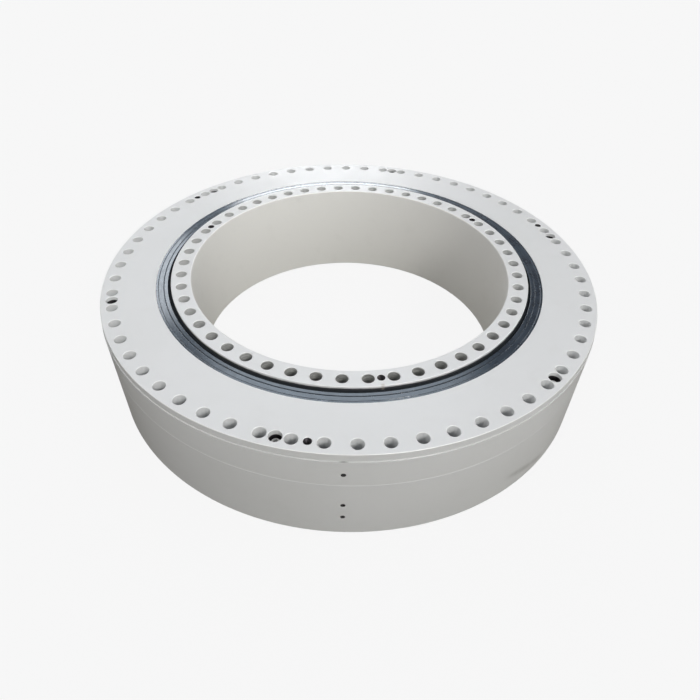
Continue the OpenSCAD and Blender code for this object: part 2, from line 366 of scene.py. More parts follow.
def round_loops(pairs, count):
    """A level circle for each (radius, height)."""
    return [round_loop(radius, z, count) for radius, z in pairs]


def mouth(radius, z, bevel, up=1):
    """(radius, height) pairs for a bevelled mouth with soft edges, from inside out."""
    soft = 0.3
    return [
        (radius, z - up * (bevel + soft)),
        (radius + 0.09, z - up * (bevel + 0.02)),
        (radius + soft, z - up * (bevel - soft)),
        (radius + bevel - soft, z - up * soft),
        (radius + bevel + 0.02, z - up * 0.07),
        (radius + bevel + 0.6, z + up * 0.02),
        (radius + bevel + 0.6, z + up * 2.0),
    ]


print("drill helpers ready")

# %% [markdown]
# ### The drills of this ring
#
# - The mount holes are clearance holes for M30 screws, bevelled at each mouth.
# - The joining screws stand in flat-bottomed recesses, over a plain clearance hole.
# - The lifting holes are blind, tapped M24, and end in the drill's blunt cone.
# - The grease ports are tapped G 1/4, with a thin passage on to the rollers.
#
# Paint reaches about halfway down the recesses, and none of the tapped holes. The
# faces that stay bare carry a true-or-false attribute, which the ring's tree reads.


# %% Plain drills
HOLE = 16.5  # radius of a mount hole
BEVEL = 1.5
POINTS = 40  # points round a hole, and below, round a grease port
PORT_POINTS = 32


def through_drill(name, low, high):
    """Both mouths bevelled."""
    pairs = mouth(HOLE, low, BEVEL, up=-1)[::-1] + mouth(HOLE, high, BEVEL)
    return loft(name, round_loops(pairs, POINTS))


def half_drill(name, mouth_at, seam_at):
    """One bevelled mouth, and a plain end that runs past the joint between the halves."""
    up = 1 if mouth_at > seam_at else -1
    pairs = [(HOLE, seam_at - up * 1.0)] + mouth(HOLE, mouth_at, BEVEL, up)
    if up < 0:
        pairs.reverse()
    return loft(name, round_loops(pairs, POINTS))


def screw_drill(name, top, seat, seam_at):
    """A recess for a screw's head over its clearance hole."""
    recess, clearance = 17.0, 9.0
    paint_end = top - 12.0  # the paint reaches this height
    pairs = [(clearance, seam_at - 1.0), (clearance, seat - 0.8), (clearance + 0.8, seat)]
    pairs += [(recess, seat), (recess, paint_end)] + mouth(recess, top, BEVEL)
    return loft(name, round_loops(pairs, POINTS), is_bare=lambda z: z < paint_end)


print("plain drills ready")


# %% Threaded drills
def threaded_loops(core, crest, pitch, low, high, count):
    """Loops of an inside thread: the radius winds from core to crest along a helix."""
    rows_per_turn = 5
    total_rows = int((high - low) / pitch * rows_per_turn)
    loops = []
    for k in range(total_rows + 1):
        z = low + (high - low) * k / total_rows

        def radius(angle, z=z):
            phase = (z / pitch - angle / math.tau) % 1.0
            ridge = 1 - abs(2 * phase - 1)
            return core + (crest - core) * min(1.0, 1.5 * ridge)

        loops.append(round_loop(radius, z, count))
    return loops


def lift_drill(name, top):
    """A tapped M24 hole with the drill's cone at its end."""
    core, crest, pitch, depth = 10.5, 12.0, 3.0, 45.0
    low = top - depth
    tip = low - core / math.tan(math.radians(59))
    loops = round_loops([(0.3, tip), (core, low)], POINTS)
    loops += threaded_loops(core, crest, pitch, low + 2.0, top - 2.4, POINTS)
    loops += round_loops(mouth(core, top, BEVEL), POINTS)
    return loft(name, loops, is_bare=lambda z: z < top - 1.4)


def port_drill(name, z, inside):
    """A tapped G 1/4 mouth in the wall and a passage inwards, lying along +X."""
    core, crest, pitch, passage = 5.9, 6.58, 1.337, 3.0
    pairs = [(passage, inside - 1.0), (passage, WALL - 18.0), (core, WALL - 16.0)]
    loops = round_loops(pairs, PORT_POINTS)
    loops += threaded_loops(core, crest, pitch, WALL - 15.5, WALL - 2.2, PORT_POINTS)
    loops += round_loops(mouth(core + 0.2, WALL, 0.9), PORT_POINTS)
    made = loft(name, loops, is_bare=lambda x: x < WALL - 0.7)
    for vertex in made.data.vertices:
        x, y, along = vertex.co
        vertex.co = (along, y, z * mm - x)
    return made


print("threaded drills ready")

# %% The ten drills
screw_low, screw_top = height_range("joining_screws")
screw_seat = screw_top - 16.0  # the head is as high as the screw is thick
upper_row = sum(height_range("upper_axial_rollers_1")) / 2
radial_row = sum(height_range("radial_rollers_1")) / 2
lower_row = sum(height_range("lower_axial_rollers_1")) / 2
drills = {
    "outer_upper": half_drill("drill_outer_upper", outer_top, SEAM),
    "outer_lower": half_drill("drill_outer_lower", 0.0, SEAM),
    "inner": through_drill("drill_inner", inner_foot, inner_top),
    "screw": screw_drill("drill_screw", outer_top, screw_seat, SEAM),
    "outer_lift": lift_drill("drill_outer_lift", outer_top),
    "inner_lift": lift_drill("drill_inner_lift", inner_top),
    "upper_port": port_drill("drill_upper_port", upper_row, POCKET),
    "radial_port": port_drill("drill_radial_port", radial_row, RACEWAY),
    "lower_port": port_drill("drill_lower_port", lower_row, POCKET),
    "screw_thread": loft(
        "drill_screw_thread",
        round_loops([(8.1, screw_low - 4.0), (8.1, SEAM + 1.0)], POINTS),
        is_bare=lambda z: True,
    ),
}
most_faces = max(len(drill.data.polygons) for drill in drills.values())
print(len(drills), "drills, the largest with", most_faces, "faces")

# %% [markdown]
# ## Rows of holes
#
# Fifty or sixty equal holes are one drill, repeated. This small tree puts copies of
# any object round the axis. It can be used inside other trees as a single node, which
# keeps those trees short. An Array modifier could do the same, but only one row each.


# %% Tree that repeats a piece round the axis
def new_tree(name, inputs):
    """A Geometry Nodes tree with these inputs (name, socket type, value) and one output."""
    tree = bpy.data.node_groups.new(name, "GeometryNodeTree")
    for label, kind, value in inputs:
        socket = tree.interface.new_socket(label, in_out="INPUT", socket_type=kind)
        if value is not None:
            socket.default_value = value
    tree.interface.new_socket("Geometry", in_out="OUTPUT", socket_type="NodeSocketGeometry")
    return tree, tree.nodes.new("NodeGroupInput").outputs, tree.nodes.new("NodeGroupOutput")


def row_inputs(row=""):
    """The inputs that say what a row of copies repeats, and where."""
    return [
        (row + "Piece", "NodeSocketObject", None),
        (row + "Count", "NodeSocketInt", 6),
        (row + "Circle Radius", "NodeSocketFloat", 0.5),
        (row + "First Angle", "NodeSocketFloat", 0.0),
    ]


around_axis, given, output = new_tree("around_axis", row_inputs())
piece = add_node(around_axis, "GeometryNodeObjectInfo", {"Object": given["Piece"]})
step = maths(around_axis, "DIVIDE", math.tau, given["Count"])
number = add_node(around_axis, "GeometryNodeInputIndex").outputs[0]
angle = maths(around_axis, "MULTIPLY_ADD", number, step, given["First Angle"])
turn = add_node(around_axis, "ShaderNodeCombineXYZ", {"Z": angle}).outputs[0]
spots = add_node(around_axis, "GeometryNodePoints", {"Count": given["Count"]})
copies = add_node(
    around_axis,
    "GeometryNodeInstanceOnPoints",
    {"Points": spots.outputs[0], "Instance": piece.outputs["Geometry"], "Rotation": turn},
)
outwards = add_node(around_axis, "ShaderNodeCombineXYZ", {"X": given["Circle Radius"]})
placed = add_node(
    around_axis,
    "GeometryNodeTranslateInstances",
    {"Instances": copies.outputs[0], "Translation": outwards.outputs[0]},
)
around_axis.links.new(placed.outputs[0], output.inputs[0])
print(around_axis.name, "has", len(around_axis.nodes), "nodes")


def row_of_copies(tree, given, row=""):
    """The tree above as one node of another tree, linked to that tree's row inputs."""
    copies = add_node(tree, "GeometryNodeGroup", node_tree=around_axis)
    for label, _, _ in row_inputs():
        tree.links.new(given[row + label], copies.inputs[label])
    return copies.outputs[0]

# %% [markdown]
# ## Turned and drilled rings
#
# Curve to Mesh sweeps the outline round a circle, which is what the lathe does. Mesh
# Boolean then takes every drill away in one go. Its Manifold solver is fast and safe
# here, because the ring and the drills are all closed solids. The bare faces of the
# drills keep their attribute on the walls that they cut, so the last two nodes can
# give paint to the ring and dark steel to those walls.


# %% Tree that turns and drills a ring
def shade_soft(tree, geometry):
    """Smooth shading, except across the edges that bend sharply."""
    faces = add_node(tree, "GeometryNodeSetShadeSmooth", {"Geometry": geometry}, domain="FACE")
    bend = add_node(tree, "GeometryNodeInputMeshEdgeAngle").outputs[0]
    edges = add_node(
        tree,
        "GeometryNodeSetShadeSmooth",
        {"Geometry": faces.outputs[0], "Shade Smooth": maths(tree, "LESS_THAN", bend, SHARP)},
        domain="EDGE",
    )
    return edges.outputs[0]


def drilled_ring_tree(name, rows):
    """A tree that sweeps its outline and drills it; rows names its rows of holes."""
    inputs = [
        ("Geometry", "NodeSocketGeometry", None),
        ("Turn Steps", "NodeSocketInt", 480),
        ("Path Radius", "NodeSocketFloat", 0.6),
        ("Finish", "NodeSocketMaterial", None),
        ("Bare Finish", "NodeSocketMaterial", None),
    ]
    for row in rows:
        inputs += row_inputs(row + " ")
    tree, given, output = new_tree(name, inputs)
    profile = add_node(tree, "GeometryNodeMeshToCurve", {"Mesh": given["Geometry"]})
    path = add_node(
        tree,
        "GeometryNodeCurvePrimitiveCircle",
        {"Resolution": given["Turn Steps"], "Radius": given["Path Radius"]},
    )
    result = add_node(
        tree,
        "GeometryNodeCurveToMesh",
        {"Curve": path.outputs[0], "Profile Curve": profile.outputs[0]},
    ).outputs[0]
    if rows:
        all_drills = add_node(tree, "GeometryNodeJoinGeometry")
        for row in rows:
            tree.links.new(row_of_copies(tree, given, row + " "), all_drills.inputs[0])
        solid_drills = add_node(
            tree, "GeometryNodeRealizeInstances", {0: all_drills.outputs[0]}
        )
        result = add_node(
            tree,
            "GeometryNodeMeshBoolean",
            {"Mesh 1": result, "Mesh 2": solid_drills.outputs[0]},
            operation="DIFFERENCE",
            solver="MANIFOLD",
        ).outputs[0]
    painted = add_node(
        tree,
        "GeometryNodeSetMaterial",
        {"Geometry": shade_soft(tree, result), "Material": given["Finish"]},
    )
    bare_faces = add_node(
        tree, "GeometryNodeInputNamedAttribute", {"Name": "bare"}, data_type="BOOLEAN"
    )
    finished = add_node(
        tree,
        "GeometryNodeSetMaterial",
        {
            "Geometry": painted.outputs[0],
            "Selection": bare_faces.outputs[0],
            "Material": given["Bare Finish"],
        },
    )
    tree.links.new(finished.outputs[0], output.inputs[0])
    return tree


print("ring trees ready")

# %% [markdown]
# ### From a tree to a finished piece
#
# The next helpers run a tree and keep its result as a plain mesh, because other programs can't
# read a node tree. Weighted Normal keeps the wide flat faces flat, and still shades the soft
# corners as round. `place` then hangs the new piece on the body that it turns with, and hides
# the frame's nodes that it replaces.


# %% Bake helpers
def set_inputs(modifier, values):
    """Fills a modifier's inputs by name; Blender keeps them by identifier."""
    items = modifier.node_group.interface.items_tree
    identifiers = {i.name: i.identifier for i in items if i.in_out == "INPUT"}
    for name, value in values.items():
        modifier[identifiers[name]] = value


def bake(name, start, tree, values):
    """Runs a tree on an object, and returns the result as a plain mesh object."""
    nodes_step = start.modifiers.new(tree.name, "NODES")
    nodes_step.node_group = tree
    set_inputs(nodes_step, values)
    weights = start.modifiers.new("flat faces stay flat", "WEIGHTED_NORMAL")
    weights.mode = "FACE_AREA"
    weights.keep_sharp = True
    evaluated = start.evaluated_get(bpy.context.evaluated_depsgraph_get())
    mesh = bpy.data.meshes.new_from_object(evaluated)
    mesh.name = name
    made = bpy.data.objects.new(name, mesh)
    scene.collection.objects.link(made)
    bpy.data.objects.remove(start)
    triangles = sum(len(p.vertices) - 2 for p in mesh.polygons)
    print(f"{name}: {len(mesh.polygons)} faces, {triangles} triangles")
    return made


def place(piece, body, slot, *nodes):
    """Says which body a piece rides on, and the frame's nodes it stands for. slot, the finish,
    is not used.
    """
    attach(piece, body)
    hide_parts(*nodes)


def ring_values(finish, bare, **rows):
    """The inputs of a ring tree; each row is (drill, count, circle radius, first angle)."""
    values = {"Turn Steps": TURN_STEPS, "Path Radius": PATH * mm}
    values.update({"Finish": finish, "Bare Finish": bare})
    for row, (drill, count, radius, first) in rows.items():
        row = row.replace("_", " ").capitalize()
        values[f"{row} Piece"] = drills[drill]
        values[f"{row} Count"] = count
        values[f"{row} Circle Radius"] = radius * mm
        values[f"{row} First Angle"] = math.radians(first)
    return values


print("bake helpers ready")

# %% [markdown]
# ## Finishes
#
# Every finish is a node material on the Principled surface. It varies its colour and
# roughness with noise at two or three scales, and ends in a fine bump, because real
# coatings and metals are never one flat colour. The noise reads Object coordinates:
# every piece sits at the origin, so they are metres in the frame, and a spot on the
# ring can be found by its radius, height and angle. `Surface` keeps the few lines
# that each material repeats in one place.


# %% Finish helper
class Surface:
    """A new material with its Principled node, and the coordinates that it reads."""

    def __init__(self, name, **sockets):
        self.material = bpy.data.materials.new(name)
        self.material.use_nodes = True
        self.tree = self.material.node_tree
        self.shader = self.tree.nodes["Principled BSDF"]
        for socket, value in sockets.items():
            self.shader.inputs[socket.replace("_", " ")].default_value = value
        self.place = add_node(self.tree, "ShaderNodeTexCoord").outputs["Object"]
        split = add_node(self.tree, "ShaderNodeSeparateXYZ", {0: self.place})
        self.height, self.across = split.outputs["Z"], split.outputs["Y"]
        self.flat = add_node(
            self.tree,
            "ShaderNodeVectorMath",
            {0: self.place, 1: (1, 1, 0)},
            operation="MULTIPLY",
        ).outputs[0]
        self.radius = add_node(
            self.tree, "ShaderNodeVectorMath", {0: self.flat}, operation="LENGTH"
        ).outputs["Value"]
        self.angle = self.maths("ARCTAN2", self.across, split.outputs["X"])

    def noise(self, scale, detail=3.0, roughness=0.5, place=None):
        sockets = {"Vector": place or self.place, "Scale": scale}
        sockets.update({"Detail": detail, "Roughness": roughness})
        return add_node(self.tree, "ShaderNodeTexNoise", sockets).outputs["Fac"]

    def band(self, value, low, high, soft):
        """1 between low and high, fading to 0 over soft at each side."""
        rise = self.remap(value, low - soft, low + soft, smooth=True)
        fall = self.remap(value, high - soft, high + soft, 1.0, 0.0, smooth=True)
        return self.times(rise, fall)

    def mix(self, share, first, second):
        """first where share is 0, second where it is 1."""
        sockets = {0: share}
        for socket, value in ((6, first), (7, second)):
            sockets[socket] = (*value, 1) if isinstance(value, tuple) else value
        return add_node(self.tree, "ShaderNodeMix", sockets, data_type="RGBA").outputs[2]

    def maths(self, operation, *values):
        return maths(self.tree, operation, *values)

    def times(self, first, second):
        return self.maths("MULTIPLY", first, second)

    def remap(self, value, low, high, to_low=0.0, to_high=1.0, smooth=False):
        return remap(self.tree, value, low, high, to_low, to_high, smooth)

    def distance(self, radius, degrees):
        """Level distance, in metres, from the spot at this radius (mm) and angle."""
        angle = math.radians(degrees)
        spot = (radius * mm * math.cos(angle), radius * mm * math.sin(angle), 0.0)
        return add_node(
            self.tree, "ShaderNodeVectorMath", {0: self.flat, 1: spot}, operation="DISTANCE"
        ).outputs["Value"]

    def link(self, socket, value):
        self.tree.links.new(value, self.shader.inputs[socket])

    def bump(self, height, strength, distance):
        sockets = {"Height": height, "Strength": strength, "Distance": distance}
        node = add_node(self.tree, "ShaderNodeBump", sockets)
        self.link("Normal", node.outputs[0])

    def polar(self, around, across, along):
        """Coordinates that follow the ring, stretched: angle, radius and height."""
        sockets = {
            "X": self.times(self.angle, around),
            "Y": self.times(self.radius, across),
            "Z": self.times(self.height, along),
        }
        return add_node(self.tree, "ShaderNodeCombineXYZ", sockets).outputs[0]


print("finish helper ready")

# %% [markdown]
# ### Off-white paint
#
# The rings are sprayed with a satin paint over primer. Sprayed paint has a slight skin like
# orange peel, patches that are a little glossier, and a thin grey film of dust and finger marks
# from the workshop. The colour is nearly white with a touch of warm grey. It is built in
# layers, as on the real ring: the coat first, then what has happened to it since. A few layers
# are painted light and shade instead: a lighter bore, a darker foot, whiter top edges, and
# darker, bluer walls deep in the outer holes. Each layer is a colour, and its share from 0 to
# 1.

# %% Ring paint: the coat
paint = Surface("ring_paint", Metallic=0.0, IOR=1.5)
patchy = paint.noise(2.2, 4.0, 0.55)
cloud = paint.noise(14.0, 4.0, 0.6)
grain = paint.noise(95.0, 2.0, 0.5)
peel = paint.noise(230.0, 1.5, 0.5)
colour = paint.mix(paint.remap(patchy, 0.3, 0.7), (0.724, 0.731, 0.722), (0.764, 0.771, 0.767))
# Painted light: the bore's paint is lighter and creamier, standing in for the light that
# bounces round inside the bore.
bore_painted_light = paint.remap(paint.radius, (BORE + 1) * mm, (BORE + 3) * mm, 1.0, 0.0)
colour = paint.mix(bore_painted_light, colour, (0.905, 0.900, 0.865))
clouded = paint.remap(cloud, 0.56, 0.80, 0.0, 0.12)
colour = paint.mix(clouded, colour, (0.60, 0.60, 0.565))
paint.link("Roughness", paint.remap(cloud, 0.3, 0.7, 0.30, 0.40))
paint.bump(paint.maths("MULTIPLY_ADD", grain, 0.6, peel), 0.10, 0.0006)
print("paint, the coat:", len(paint.tree.nodes), "nodes")

# %% [markdown]
# ### Marks on the outer wall
#
# A mark looks real when it has a cause. The paint of the whole ring is darker towards the foot:
# painted shade, where the ground shades the ring. Low on the wall the paint is also scuffed
# from being set down. One long rub runs slantwise up the wall, where a lifting strap lay. Each
# mark is bounded by bands of height and angle, and broken up by the same uneven noise, so that
# none has a clean edge.

# %% Ring paint: the outer wall
# Painted shade: the paint darkens towards the foot, where the ground shades the ring.
low_painted_shade = paint.remap(paint.height, 0.0, 0.31, 0.22, 0.0)
colour = paint.mix(low_painted_shade, colour, (0.30, 0.30, 0.28))
outside = paint.remap(paint.radius, (WALL - 3) * mm, (WALL - 1) * mm)
uneven = paint.noise(9.0, 6.0, 0.68)
low_wall = paint.band(paint.height, -0.05, 0.075, 0.05)
scuffs = paint.remap(uneven, 0.69, 0.73, 0.0, 0.45, smooth=True)
scuffs = paint.times(scuffs, paint.times(low_wall, outside))
colour = paint.mix(scuffs, colour, (0.30, 0.28, 0.25))
# The rub's middle lies lower as the angle grows.
rub_middle = paint.maths("MULTIPLY_ADD", paint.angle, -0.19, -0.122)
off_middle = paint.maths("SUBTRACT", paint.height, rub_middle)
rub = paint.times(
    paint.band(off_middle, -0.010, 0.012, 0.012), paint.band(paint.angle, -0.985, -0.80, 0.05)
)
rub = paint.times(rub, paint.remap(uneven, 0.34, 0.60, 0.1, 0.80))
colour = paint.mix(paint.times(rub, outside), colour, (0.34, 0.34, 0.32))
print("paint, the wall:", len(paint.tree.nodes), "nodes")

# %% [markdown]
# ### Edges and the inside of the holes
#
# Just below each top, every mouth and rim gets a whiter band: a painted highlight, where the
# rounded edges catch the light. The inner ring's holes are oiled inside, and dark a little way
# below the mouth. The drips are noise drawn out along the ring's own directions. The outer
# ring's holes get painted shade, darker and bluer further down.

# %% Ring paint: edges and holes
for top in (outer_top * mm, inner_top * mm):
    # Painted highlight: a whiter band just below each top, along every edge there.
    rim_painted_highlight = paint.band(paint.height, top - 0.0016, top - 0.0002, 0.0001)
    colour = paint.mix(rim_painted_highlight, colour, (0.93, 0.93, 0.92))
drips = paint.noise(1.0, 3.0, 0.6, paint.polar(30.0, 30.0, 420.0))
depth = paint.maths("MULTIPLY_ADD", drips, 0.008, paint.height)
inner_holes = paint.band(paint.radius, (BORE + 8) * mm, (LAND - 8) * mm, 0.001)
oiled = paint.remap(
    depth, (inner_top - 0.5) * mm, (inner_top + 2.0) * mm, 1.0, 0.0, smooth=True
)
# The oil is thick in the holes at the front, and thinner towards the back.
oiled = paint.times(oiled, paint.remap(paint.across, -0.50, -0.20, 0.95, 0.35))
oily = paint.mix(paint.remap(drips, 0.35, 0.65), (0.15, 0.155, 0.145), (0.46, 0.46, 0.44))
colour = paint.mix(paint.times(oiled, inner_holes), colour, oily)
outer_holes = paint.band(
    paint.radius, (OUTER_HOLES - 20) * mm, (OUTER_HOLES + 20) * mm, 0.001
)
# Painted shade: the walls of the outer holes grow darker and bluer further down.
hole_painted_shade = paint.remap(depth, (outer_top - 32) * mm, (outer_top - 6) * mm, 0.30, 0.0)
colour = paint.mix(paint.times(hole_painted_shade, outer_holes), colour, (0.30, 0.32, 0.35))
print("paint, edges and holes:", len(paint.tree.nodes), "nodes")

# %% [markdown]
# ### Dust and grease
#
# Dust lies on the rim's ledge, with a smear of grease above the front ports. Grease
# and dust also darken the wall that the seal's lip runs on. Last comes a greasy
# finger mark on the inner ring's edge, beside the front lifting hole. Small dark
# marks like these give the eye a sense of scale.

# %% Ring paint: dust and grease
ledge = paint.times(
    paint.band(paint.height, (ledge_at - 1.6) * mm, (ledge_at + 0.8) * mm, 0.0002),
    paint.remap(paint.radius, (RIM - 0.5) * mm, (RIM + 0.2) * mm),
)
colour = paint.mix(paint.times(ledge, 0.40), colour, (0.36, 0.355, 0.34))
ports_at = math.radians(PORT_TURN)
smear = paint.times(paint.band(paint.angle, ports_at - 0.009, ports_at + 0.009, 0.012), ledge)
colour = paint.mix(paint.times(smear, 0.60), colour, (0.07, 0.065, 0.06))
wavy = paint.maths("MULTIPLY_ADD", paint.noise(30.0, 3.0), 0.004, paint.height)
land = paint.band(paint.radius, (LAND - 1.5) * mm, (LAND + 1.2) * mm, 0.0003)
lip_mark = paint.remap(
    wavy, (inner_top - 6.5) * mm, (inner_top - 2.5) * mm, 1.0, 0.0, smooth=True
)
colour = paint.mix(paint.times(land, lip_mark), colour, (0.045, 0.048, 0.052))
from_finger = paint.distance(LAND - 2.6, -82.9)
from_finger = paint.maths("MULTIPLY_ADD", uneven, 0.022, from_finger)
finger_mark = paint.remap(from_finger, 0.013, 0.019, 0.45, 0.0, smooth=True)
colour = paint.mix(finger_mark, colour, (0.46, 0.41, 0.34))
paint.link("Base Color", colour)
print("ring paint:", len(paint.tree.nodes), "nodes")

# %% [markdown]
# ### Bare threads and recess walls
#
# The tapped holes and the lower part of the screw recesses are masked from paint.
# They are cut steel with a coat of old oil: nearly black with a violet tinge, and
# shiny where the oil pools.

# %% Bare steel
bare = Surface("bare_oiled_steel")
stain = bare.noise(60.0, 5.0, 0.6)
steel = bare.mix(bare.remap(stain, 0.35, 0.7), (0.020, 0.017, 0.021), (0.080, 0.072, 0.075))
# One recess, at the front, is painted 3 mm deeper than the others.
front_recess = bare.remap(bare.distance(OUTER_HOLES, SCREW_TURN - 120), 0.020, 0.024, 1.0, 0.0)
ragged = bare.maths("MULTIPLY_ADD", stain, 0.002, bare.height)
limit = (outer_top - 15.0) * mm  # how far down it reached there
deeper_paint = bare.remap(ragged, limit, limit + 0.001, smooth=True)
deeper_paint = bare.times(deeper_paint, front_recess)
bare.link("Base Color", bare.mix(deeper_paint, steel, (0.76, 0.76, 0.74)))
bare.link("Metallic", bare.remap(deeper_paint, 0.0, 1.0, 0.60, 0.0))
bare.link("Roughness", bare.remap(stain, 0.3, 0.7, 0.28, 0.5))
bare.bump(bare.noise(900.0, 2.0), 0.2, 0.0003)
print("bare steel:", len(bare.tree.nodes), "nodes")

# %% [markdown]
# ### Seal rubber
#
# The lip seals are extruded rubber, laid in a circle and wet with grease that the turning lip
# drags round. The film is thin in some places and thick in others, and it is drawn out along
# the ring, so the noise here is stretched round the axis. Rubber is black. The blue-grey seen
# on it is mostly the sky, mirrored by the film, and partly painted sheen: the lighter blue-grey
# colour of the streaks.

# %% Seal rubber
rubber = Surface("seal_rubber", IOR=1.5, Coat_Roughness=0.10, Coat_IOR=2.0)
rubber.shader.inputs["Coat Tint"].default_value = (0.72, 0.87, 1.0, 1)
rubber.shader.inputs["Specular Tint"].default_value = (0.72, 0.87, 1.0, 1)
streaks_and_sheen = rubber.noise(1.0, 4.0, 0.6, rubber.polar(9.0, 900.0, 900.0))
film = rubber.noise(16.0, 5.0, 0.62)
drag = rubber.noise(1.0, 3.0, 0.5, rubber.polar(40.0, 160.0, 160.0))
black = rubber.mix(rubber.remap(film, 0.35, 0.7), (0.008, 0.011, 0.015), (0.026, 0.031, 0.038))
# Lighter blue-grey streaks round the ring: grease in the film, with painted sheen in their
# colour.
black = rubber.mix(rubber.remap(streaks_and_sheen, 0.55, 0.8, 0.0, 0.6), black, (0.070, 0.080, 0.092))
# Painted shade: the lip's hollow side, in the gap by the inner ring, is near black, rough and
# almost uncoated, so it mirrors nothing.
lip_painted_shade = rubber.remap(rubber.radius, (SEAT - 36.6) * mm, (SEAT - 35.6) * mm, 1.0, 0.0)
rubber.link("Base Color", rubber.mix(lip_painted_shade, black, (0.004, 0.004, 0.005)))
wetness = rubber.maths("MULTIPLY_ADD", drag, 0.5, film)
shine = rubber.remap(wetness, 0.5, 0.95, 0.16, 0.42)
rubber.link("Roughness", rubber.maths("MULTIPLY_ADD", lip_painted_shade, 0.45, shine))
film_share = rubber.remap(drag, 0.3, 0.75, 1.0, 0.72)
coat_out_of_shade = rubber.remap(lip_painted_shade, 0.0, 1.0, 1.0, 0.04)
rubber.link("Coat Weight", rubber.times(film_share, coat_out_of_shade))
rubber.bump(rubber.maths("MULTIPLY_ADD", drag, 0.5, streaks_and_sheen), 0.35, 0.0004)
print("seal rubber:", len(rubber.tree.nodes), "nodes")

# %% [markdown]
# ### Screw, roller and cage finishes
#
# The joining screws were blackened, and most of that has worn off, so they look like
# bright steel. The rollers are ground and honed, so their fine scratches run round
# them. The cages are natural nylon, cream coloured and a little see-through, with
# grease on them.

# %% Screw, roller and cage finishes
screw = Surface("screw_steel", Metallic=0.9)
worn = screw.noise(320.0, 4.0, 0.6)
screw.link(
    "Base Color",
    screw.mix(screw.remap(worn, 0.45, 0.75), (0.60, 0.60, 0.59), (0.86, 0.85, 0.83)),
)
screw.link("Roughness", screw.remap(worn, 0.3, 0.7, 0.42, 0.28))
screw.bump(screw.noise(1500.0, 2.0), 0.25, 0.0002)

roller = Surface("roller_steel", Metallic=1.0)
honed = roller.noise(1.0, 3.0, 0.6, roller.polar(60.0, 1500.0, 1500.0))
oil = roller.noise(45.0, 3.0, 0.5)
roller.link(
    "Base Color",
    roller.mix(roller.remap(oil, 0.45, 0.8), (0.60, 0.61, 0.63), (0.42, 0.38, 0.30)),
)
roller.link("Roughness", roller.remap(honed, 0.3, 0.7, 0.12, 0.26))
roller.bump(honed, 0.06, 0.0002)

cage = Surface("cage_nylon", Subsurface_Weight=0.12, Subsurface_Scale=0.004)
marbled = cage.noise(22.0, 5.0, 0.6)
cage.link(
    "Base Color",
    cage.mix(cage.remap(marbled, 0.35, 0.75), (0.72, 0.66, 0.50), (0.58, 0.50, 0.34)),
)
cage.link("Roughness", cage.remap(marbled, 0.3, 0.7, 0.36, 0.52))
cage.bump(cage.noise(700.0, 2.0), 0.15, 0.0003)
print("screw, roller and cage finishes ready")

# %% [markdown]
# ## The outer ring
#
# The outer ring carries the rollers' outer raceways, so it is made in two halves that
# close over the inner ring's nose. The upper half steps in at its rim and fits
# into the lower half with a spigot. Six screws join the halves, and the sixty mount
# holes go right through both. Each half is one outline, drilled: the halves differ
# only in their corners and in their rows of holes.

# %% Outer ring, upper half
upper_track = outer_top - 48.8
upper_corners = [
    (LIP, upper_track, 0.4),
    (LIP, outer_top - SEAT_DEPTH, 0.5),
    (SEAT, outer_top - SEAT_DEPTH, 0.5),
    (SEAT, outer_top - 0.75, 0.4),
    (SEAT + 0.75, outer_top, 0.4),
    (RIM - 1.5, outer_top, 0.6),
    (RIM, outer_top - 1.5, 0.6),
    (RIM, ledge_at, 0.5),
    (WALL - 1.5, ledge_at, 0.6),
    (WALL, ledge_at - 1.5, 0.7),
    (WALL, SEAM + 0.7, 0.3),
    (WALL - 0.7, SEAM, 0.2),
    (RACEWAY - 0.05, SEAM, 0.3),
    (RACEWAY - 0.05, SEAM - 55.0, 0.5),
    (POCKET, SEAM - 55.0, 0.5),
    (POCKET, upper_track, 0.5),
]
upper_rows = ("Mount holes", "Screw recesses", "Lifting threads", "Grease ports")
ring_upper = bake(
    "outer_ring_upper_painted",
    outline_object("outer_upper_outline", soften(upper_corners)),
    drilled_ring_tree("turn_and_drill_upper_half", upper_rows),
    ring_values(
        paint.material,
        bare.material,
        Mount_holes=("outer_upper", 60, OUTER_HOLES, 0.0),
        Screw_recesses=("screw", 6, OUTER_HOLES, SCREW_TURN),
        Lifting_threads=("outer_lift", 3, OUTER_HOLES, LIFT_TURN),
        Grease_ports=("upper_port", 4, 0.0, PORT_TURN),
    ),
)
place(ring_upper, "outer_ring", "ring_paint", "outer_ring_upper")

# %% Outer ring, lower half
groove_in, groove_out = 686.816, 693.316  # walls of the cord seal's groove
groove_floor = SEAM - 4.6
lower_corners = [
    (SEAT, 0.75, 0.4),
    (SEAT, SEAT_DEPTH, 0.5),
    (LIP, SEAT_DEPTH, 0.5),
    (LIP, 57.0, 0.5),
    (POCKET, 57.0, 0.5),
    (POCKET, 101.2, 0.5),
    (RACEWAY, 101.2, 0.5),
    (RACEWAY, SEAM, 0.3),
    (groove_in, SEAM, 0.2),
    (groove_in, groove_floor, 0.3),
    (groove_out, groove_floor, 0.3),
    (groove_out, SEAM, 0.2),
    (WALL - 0.7, SEAM, 0.2),
    (WALL, SEAM - 0.7, 0.3),
    (WALL, 4.0, 0.8),
    (WALL - 4.0, 0.0, 0.8),
    (SEAT + 0.75, 0.0, 0.4),
]
lower_rows = ("Mount holes", "Screw threads", "Radial ports", "Lower ports")
ring_lower = bake(
    "outer_ring_lower_painted",
    outline_object("outer_lower_outline", soften(lower_corners)),
    drilled_ring_tree("turn_and_drill_lower_half", lower_rows),
    ring_values(
        paint.material,
        bare.material,
        Mount_holes=("outer_lower", 60, OUTER_HOLES, 0.0),
        Screw_threads=("screw_thread", 6, OUTER_HOLES, SCREW_TURN),
        Radial_ports=("radial_port", 4, 0.0, PORT_TURN),
        Lower_ports=("lower_port", 4, 0.0, PORT_TURN),
    ),
)
